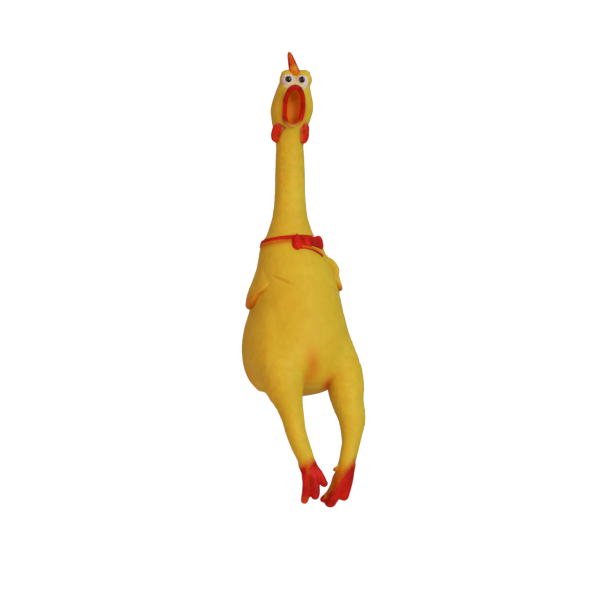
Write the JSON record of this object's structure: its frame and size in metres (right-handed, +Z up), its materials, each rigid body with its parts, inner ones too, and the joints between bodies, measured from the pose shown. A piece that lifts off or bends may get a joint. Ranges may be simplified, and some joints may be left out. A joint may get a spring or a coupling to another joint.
{
  "type": "rubber chicken",
  "caption": "Hollow soft vinyl rubber chicken with a long flexible neck, open red beak, comb, wattles, bow collar, dangling legs and a throat squawker.",
  "frame": {"origin": "middle of the neck, on its axis, where a hand holds the toy", "axes": "+Z up along the neck to the comb, -Y the way the breast faces, +X the chicken's left; the head is turned 25 degrees to the chicken's right at rest"},
  "size_m": [0.0962, 0.1381, 0.403],
  "materials": {
    "yellow_vinyl": "satin soft vinyl with a pebbled skin",
    "red_vinyl": "satin painted vinyl",
    "orange_vinyl": "satin painted vinyl",
    "white_paint": "gloss paint",
    "black_paint": "gloss paint",
    "squawker_plastic": "moulded",
    "reed_film": "clear film"
  },
  "bodies": {
    "middle_neck": {"middle_neck": "yellow_vinyl"},
    "upper_neck": {"upper_neck": "yellow_vinyl"},
    "head": {"head_shell": "yellow_vinyl", "mouth_lining": "orange_vinyl", "beak_rim": "red_vinyl", "left_eye": "white_paint", "right_eye": "white_paint", "left_pupil": "black_paint", "right_pupil": "black_paint", "squawker_housing": "squawker_plastic", "squawker_grille": "squawker_plastic", "reed_seat": "squawker_plastic", "reed_wedge": "squawker_plastic", "retaining_ring": "squawker_plastic"},
    "comb": {"comb": "red_vinyl"},
    "left_wattle": {"left_wattle": "red_vinyl"},
    "right_wattle": {"right_wattle": "red_vinyl"},
    "reed": {"reed": "reed_film"},
    "lower_neck": {"lower_neck": "yellow_vinyl"},
    "torso": {"torso_shell": "yellow_vinyl", "tail": "yellow_vinyl", "collar_band": "red_vinyl", "bow_knot": "red_vinyl", "bow_left_loop": "red_vinyl", "bow_right_loop": "red_vinyl", "bow_left_tail": "red_vinyl", "bow_right_tail": "red_vinyl"},
    "belly": {"belly_panel": "yellow_vinyl"},
    "left_wing": {"left_wing": "yellow_vinyl"},
    "right_wing": {"right_wing": "yellow_vinyl"},
    "left_shank": {"left_shank": "yellow_vinyl"},
    "right_shank": {"right_shank": "yellow_vinyl"},
    "left_foot": {"left_foot": "red_vinyl"},
    "right_foot": {"right_foot": "red_vinyl"}
  },
  "joints": [
    {"name": "head_turn", "type": "hinge", "parent": "middle_neck", "child": "upper_neck", "pos_m": [0, 0, 0.008], "axis": [0, 0, 1], "range_deg": [-45, 45], "stiffness_Nm_per_rad": 0.25},
    {"name": "head_nod", "type": "hinge", "parent": "upper_neck", "child": "head", "pos_m": [0, 0, 0.027], "axis": [0.9063, -0.4226, 0], "range_deg": [-30, 30], "stiffness_Nm_per_rad": 0.4},
    {"name": "neck_side_bend", "type": "hinge", "parent": "middle_neck", "child": "lower_neck", "pos_m": [0, 0, -0.011], "axis": [0, 1, 0], "range_deg": [-30, 30], "stiffness_Nm_per_rad": 0.8},
    {"name": "neck_base_bend", "type": "hinge", "parent": "lower_neck", "child": "torso", "pos_m": [0, 0, -0.031], "axis": [1, 0, 0], "range_deg": [-30, 30], "stiffness_Nm_per_rad": 1.2},
    {"name": "belly_press", "type": "slide", "parent": "torso", "child": "belly", "axis": [0, 1, 0], "range_m": [0, 0.014], "stiffness_N_per_m": 300},
    {"name": "left_leg_swing", "type": "hinge", "parent": "torso", "child": "left_shank", "pos_m": [0.029, -0.062, -0.199], "axis": [1, 0, 0], "range_deg": [-30, 30], "stiffness_Nm_per_rad": 0.15},
    {"name": "right_leg_swing", "type": "hinge", "parent": "torso", "child": "right_shank", "pos_m": [-0.029, -0.062, -0.199], "axis": [1, 0, 0], "range_deg": [-30, 30], "stiffness_Nm_per_rad": 0.15},
    {"name": "left_foot_bend", "type": "hinge", "parent": "left_shank", "child": "left_foot", "pos_m": [0.0193, -0.0735, -0.238], "axis": [1, 0, 0], "range_deg": [-20, 20], "stiffness_Nm_per_rad": 0.06},
    {"name": "right_foot_bend", "type": "hinge", "parent": "right_shank", "child": "right_foot", "pos_m": [-0.0193, -0.0735, -0.238], "axis": [1, 0, 0], "range_deg": [-20, 20], "stiffness_Nm_per_rad": 0.06},
    {"name": "left_wing_lift", "type": "hinge", "parent": "torso", "child": "left_wing", "pos_m": [0.0265, -0.003, -0.055], "axis": [0, -1, 0], "range_deg": [0, 20], "stiffness_Nm_per_rad": 0.03},
    {"name": "right_wing_lift", "type": "hinge", "parent": "torso", "child": "right_wing", "pos_m": [-0.0255, -0.002, -0.053], "axis": [0, 1, 0], "range_deg": [0, 20], "stiffness_Nm_per_rad": 0.03},
    {"name": "comb_bend", "type": "hinge", "parent": "head", "child": "comb", "pos_m": [0.00532, 0.00194, 0.1036], "axis": [0.4226, 0.9063, 0], "range_deg": [-20, 20], "stiffness_Nm_per_rad": 0.03},
    {"name": "left_wattle_lift", "type": "hinge", "parent": "head", "child": "left_wattle", "pos_m": [0.0084, -0.01274, 0.0605], "axis": [-0.4226, -0.9063, 0], "range_deg": [0, 15], "stiffness_Nm_per_rad": 0.01},
    {"name": "right_wattle_lift", "type": "hinge", "parent": "head", "child": "right_wattle", "pos_m": [-0.01426, -0.00218, 0.0605], "axis": [0.4226, 0.9063, 0], "range_deg": [0, 15], "stiffness_Nm_per_rad": 0.01},
    {"name": "reed_flutter", "type": "hinge", "parent": "head", "child": "reed", "pos_m": [-0.00068, -0.00145, 0.0484], "axis": [-0.9063, 0.4226, 0], "range_deg": [0, 5], "stiffness_Nm_per_rad": 0.002}
  ]
}
